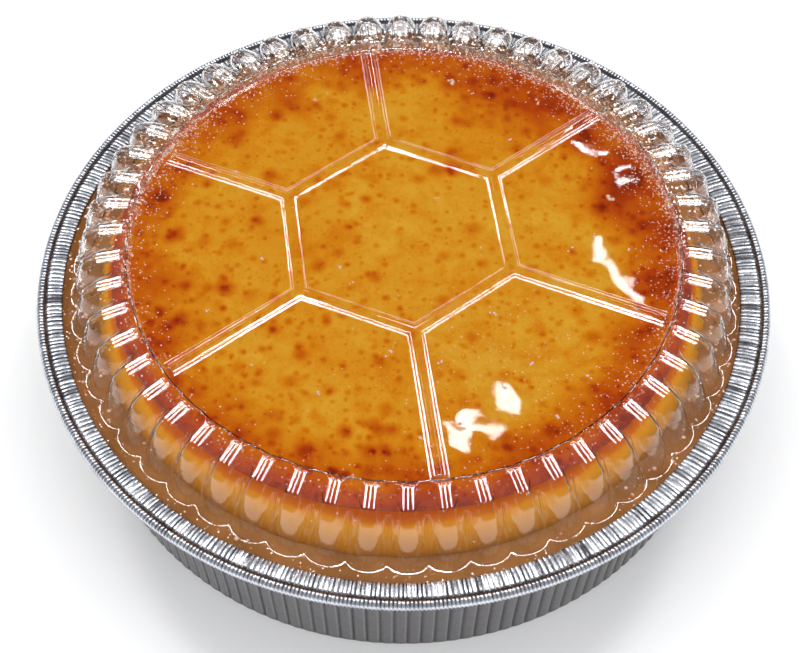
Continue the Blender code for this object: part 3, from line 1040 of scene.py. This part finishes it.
def build_drops(angles, outside):
    """Condensation beaded on the inside of the lid, thickest on its ring and bevel towards the back."""
    random = np.random.default_rng(41)
    corners = patch_corners(outside)
    corner_ways = patch_corners(grid_normals(outside))
    middle = corners.mean(axis=0)
    away = np.hypot(middle[:, :, 0], middle[:, :, 1])
    heights = middle[:, :, 2]
    area = np.linalg.norm(np.cross(corners[1] - corners[0], corners[2] - corners[0]), axis=-1)
    upright = corner_ways.mean(axis=0)[:, :, 2]
    on_wall = between(heights, (FLANGE_TOP + 1.5 * MM, LID_TOP - 0.4 * MM))
    on_ring = between(away, DROP_RING) & (heights > LID_TOP - 2.2 * MM) & (upright > 0.93)
    on_bevel = between(away, DROP_BEVEL) & (heights < LID_TOP - 0.6 * MM)
    on_fold = between(heights, (LID_TOP - 2.2 * MM, LID_TOP - 1.1 * MM))
    on_flange = (heights < FLANGE_TOP + 0.8 * MM) & (away < 109.5 * MM)
    backward = smoothstep(-0.75, 0.35, np.sin(angles))
    likely = on_ring * (0.03 + 0.97 * backward) + 0.10 * on_wall * (0.1 + 0.9 * backward)
    likely = (likely + 3.0 * on_bevel * backward + 0.25 * on_flange + 0.10 * on_fold) * area
    chosen = random.choice(likely.size, DROPS, p=(likely / likely.sum()).reshape(-1))
    down, across = random.uniform(0.0, 1.0, (2, DROPS, 1))
    up, back = 1.0 - down, 1.0 - across
    shares = np.stack([up * back, up * across, down * back, down * across])
    places = (corners.reshape(4, -1, 3)[:, chosen] * shares).sum(axis=0)
    ways = (corner_ways.reshape(4, -1, 3)[:, chosen] * shares).sum(axis=0)
    ways = ways / np.linalg.norm(ways, axis=-1, keepdims=True)
    places = places - ways * (LID_SHEET + 0.02 * MM)
    small = (places[:, 1] < 0.0) | (np.hypot(places[:, 0], places[:, 1]) < 87.0 * MM)
    radii = random.uniform(0.18, 0.50, DROPS) * MM * (1.0 - 0.4 * small)
    points, faces = domes(places, -ways, radii, radii * 0.55, sides=6, rings=2)
    return add_piece("lid_condensation", points, faces, drop_material(), "clear_lid", 60.0)


# ---- Stage


FLOOR_HALF = 4.0


def build_floor():
    """A pale floor, painted dark further off in what the clear lid mirrors."""
    shader = Shader("pale_floor")
    cloud = shader.noise(shader.place(), 3.0, 2.0)
    colour = shader.ramp(cloud, [(0.3, (0.90, 0.90, 0.90)), (0.7, (0.93, 0.93, 0.93))])
    far = shader.span(shader.length(shader.place()), 0.30, 0.55)
    # Painted reflection: dark further off, for rays mirrored in the clear lid.
    shade = shader.mix(shader.math("MULTIPLY", shader.mirrored(), far), colour, (0.05, 0.05, 0.05))
    material = shader.finish(shader.principled({"Base Color": shade, "Roughness": 0.7}))
    half = FLOOR_HALF
    corners = [(-half, -half, 0), (half, -half, 0), (half, half, 0), (-half, half, 0)]
    mesh = bpy.data.meshes.new("floor")
    mesh.from_pydata(corners, [], [(0, 1, 2, 3)])
    mesh.materials.append(material)
    floor = add_object("floor", mesh)
    return floor


def direction(azimuth, elevation):
    """Unit vector towards a place in the sky; azimuth 0 is +Y and 90 is +X."""
    turn, rise = math.radians(azimuth), math.radians(elevation)
    return Vector((math.cos(rise) * math.sin(turn), math.cos(rise) * math.cos(turn), math.sin(rise)))


LOOK_AT = Vector((0.0, 0.0, LID_TOP))
# Middle of the part of the sky that the flat top mirrors towards the front
MIRRORED_SKY = direction(0.0, 52.5)
RING_REACH = math.radians(26.5)
RING_DISTANCE = 3.0
RING_PANELS = 18
LOW_RING_ELEVATION = math.radians(37.0)
RING_BRIGHTNESS = 11.4
LID_RING_BRIGHTNESS = 22.0
FOIL_SKY_BRIGHTNESS = 0.45
FILL_BRIGHTNESS = 1.5
FLOOR_BRIGHTNESS = 1.6
SPARKLE_BRIGHTNESS = 60.0
GLEAM_BRIGHTNESS = 60.0
FAR = 40.0
# Azimuth, elevation, width, height and lean in degrees of the lamps that gleam on the caramel
GLEAMS = [
    (3.9, 58.5, 0.85, 0.85, 0.0), (5.1, 58.0, 1.3, 0.45, -20.0), (6.7, 57.0, 0.75, 0.8, 0.0),
    (10.8, 51.5, 0.35, 0.9, 0.0), (12.5, 52.6, 2.2, 0.35, -38.0), (9.1, 47.8, 0.9, 0.25, -25.0),
    (10.2, 48.2, 0.6, 0.4, 0.0), (11.9, 49.1, 0.5, 0.2, 50.0),
]


def add_softbox(name, toward, distance, width, height, brightness, lit, up=UPWARD, lean=0.0, mirrored=True):
    """A rectangular lamp that lights only the lit pieces; brightness is radiance, lean turns it clockwise."""
    lamp = bpy.data.lights.new(name, "AREA")
    lamp.shape = "RECTANGLE"
    lamp.size = width
    lamp.size_y = height
    lamp.energy = math.pi * width * height * brightness
    holder = add_object(name, lamp)
    backward = toward.normalized()
    side = Vector(up).cross(backward).normalized()
    above = backward.cross(side)
    turn = Matrix((side, above, backward)).transposed() @ Matrix.Rotation(math.radians(lean), 3, "Z")
    holder.matrix_world = Matrix.Translation(LOOK_AT + backward * distance) @ turn.to_4x4()
    holder.light_linking.receiver_collection = lit
    holder.visible_glossy = mirrored
    return holder


def receivers(name, pieces):
    """A collection of the only pieces that a lamp lights."""
    collection = bpy.data.collections.new(name)
    for piece in pieces:
        collection.objects.link(piece)
    return collection


def add_ring(name, thickness, brightness, lit, mirrored=True):
    """A ring of panels round the mirrored sky, dimmer where they hang low."""
    side = Vector((1.0, 0.0, 0.0))
    over = MIRRORED_SKY.cross(side) * -1.0
    width = RING_DISTANCE * math.radians(thickness)
    height = RING_DISTANCE * math.radians(9.0)
    for index in range(RING_PANELS):
        turn = 2.0 * math.pi * (index + 0.5) / RING_PANELS
        outward = side * math.cos(turn) + over * math.sin(turn)
        toward = MIRRORED_SKY * math.cos(RING_REACH) + outward * math.sin(RING_REACH)
        share = 0.12 if toward.z < math.sin(LOW_RING_ELEVATION) else 1.0
        add_softbox(f"{name}_{index:02d}", toward, RING_DISTANCE, width, height, brightness * share, lit,
                    up=outward, mirrored=mirrored)


def build_lights(clear, metal, food, sides, gleaming, floor):
    """Lamps for the clear lid, the foil, the food, the gleams on the caramel, and the floor."""
    clear_lit = receivers("clear_pieces", clear)
    metal_lit = receivers("foil_pieces", metal)
    food_lit = receivers("food_pieces", food + [floor])
    side_lit = receivers("side_pieces", sides)
    gleam_lit = receivers("gleaming_pieces", gleaming)
    floor_lit = receivers("floor_only", [floor])
    add_ring("lid_ring", 7.5, LID_RING_BRIGHTNESS, clear_lit)
    add_ring("foil_ring", 5.4, RING_BRIGHTNESS, metal_lit)
    add_ring("food_ring", 5.4, RING_BRIGHTNESS, food_lit, mirrored=False)
    add_softbox("foil_sky", MIRRORED_SKY, 3.1, 1.8, 1.8, FOIL_SKY_BRIGHTNESS, metal_lit)
    for azimuth, lit in ((140.0, food_lit), (220.0, food_lit), (90.0, side_lit), (270.0, side_lit)):
        add_softbox(f"fill_{azimuth:.0f}", direction(azimuth, 20.0), 3.0, 2.4, 1.9, FILL_BRIGHTNESS, lit,
                    mirrored=False)
    lamp = add_softbox("floor_lamp", direction(0.0, 89.0), 3.0, 3.0, 3.0, FLOOR_BRIGHTNESS, floor_lit)
    lamp.light_linking.blocker_collection = receivers("floor_blockers", [floor])
    wide = FAR * math.radians(8.0)
    add_softbox("sparkle", direction(0.0, 77.0), FAR, wide, wide, SPARKLE_BRIGHTNESS, clear_lit)
    for azimuth, elevation, width, height, lean in GLEAMS:
        wide, tall = FAR * math.radians(width), FAR * math.radians(height)
        add_softbox(f"gleam_{azimuth:.1f}", direction(azimuth, elevation), FAR, wide, tall, GLEAM_BRIGHTNESS,
                    gleam_lit, lean=lean)


# How near a place in the sky is to the mirrored part, as a cosine, and its grey
SOFT_SKY = [(0.0, 0.36), (0.35, 0.40), (0.70, 0.42), (0.86, 0.38), (0.92, 0.06)]
DARK_SKY = [(0.0, 0.12), (0.35, 0.07), (0.86, 0.05), (0.92, 0.01)]


def build_world():
    """A soft grey sky, darker where the flat top mirrors it; the clear lid mirrors a dark room."""
    world = bpy.data.worlds.new("studio")
    world.use_nodes = True
    nodes = Nodes(world.node_tree)
    inputs = {0: nodes.add("ShaderNodeTexCoord").outputs["Generated"], 1: MIRRORED_SKY}
    share = nodes.add("ShaderNodeVectorMath", inputs, operation="DOT_PRODUCT").outputs["Value"]
    skies = []
    for stops in (SOFT_SKY, DARK_SKY):
        skies.append(nodes.ramp(share, [(place, (grey, grey * 1.02, grey * 1.06)) for place, grey in stops]))
    sharp = nodes.add("ShaderNodeLightPath").outputs["Is Singular Ray"]
    background = world.node_tree.nodes["Background"]
    background.inputs["Strength"].default_value = 1.0
    world.node_tree.links.new(nodes.mix(sharp, *skies), background.inputs["Color"])
    bpy.context.scene.world = world


CAMERA_ELEVATION = math.radians(54.74)
CAMERA_ROLL = math.radians(0.5)
CAMERA_DISTANCE = 0.5239
CAMERA_TARGET = Vector((-0.00111, -0.02061, RIM_TOP))
CAMERA_LENS = 75.36
SENSOR_WIDTH = 36.0


def build_camera():
    """A camera that looks down at the rim from the front, rolled by half a degree."""
    camera = bpy.data.cameras.new("camera")
    camera.lens = CAMERA_LENS
    camera.sensor_width = SENSOR_WIDTH
    camera.clip_start = 0.01
    holder = add_object("camera", camera)
    backward = Vector((0.0, -math.cos(CAMERA_ELEVATION), math.sin(CAMERA_ELEVATION)))
    above = Vector((0.0, math.sin(CAMERA_ELEVATION), math.cos(CAMERA_ELEVATION)))
    side = Vector((1.0, 0.0, 0.0))
    rolled_side = math.cos(CAMERA_ROLL) * side + math.sin(CAMERA_ROLL) * above
    rolled_above = math.cos(CAMERA_ROLL) * above - math.sin(CAMERA_ROLL) * side
    turn = Matrix((rolled_side, rolled_above, backward)).transposed()
    holder.matrix_world = Matrix.Translation(CAMERA_TARGET + backward * CAMERA_DISTANCE) @ turn.to_4x4()
    bpy.context.scene.camera = holder


def main():
    build_camera()
    build_world()
    floor = build_floor()
    bright_foil = foil_material()
    pan = [build_pan(ribbed_foil()), build_hem(bright_foil), build_bead(bright_foil)]
    caramel = build_caramel(caramel_material())
    bubbles = build_bubbles()
    sides = [build_custard(), build_syrup()]
    food = sides + [caramel, bubbles, build_froth()]
    angles, outside = lid_grid()
    lid = [build_lid(outside), build_drops(angles, outside)]
    build_lights(lid, pan, food, sides, [caramel, bubbles], floor)
    bpy.context.scene.view_settings.view_transform = "Standard"


main()
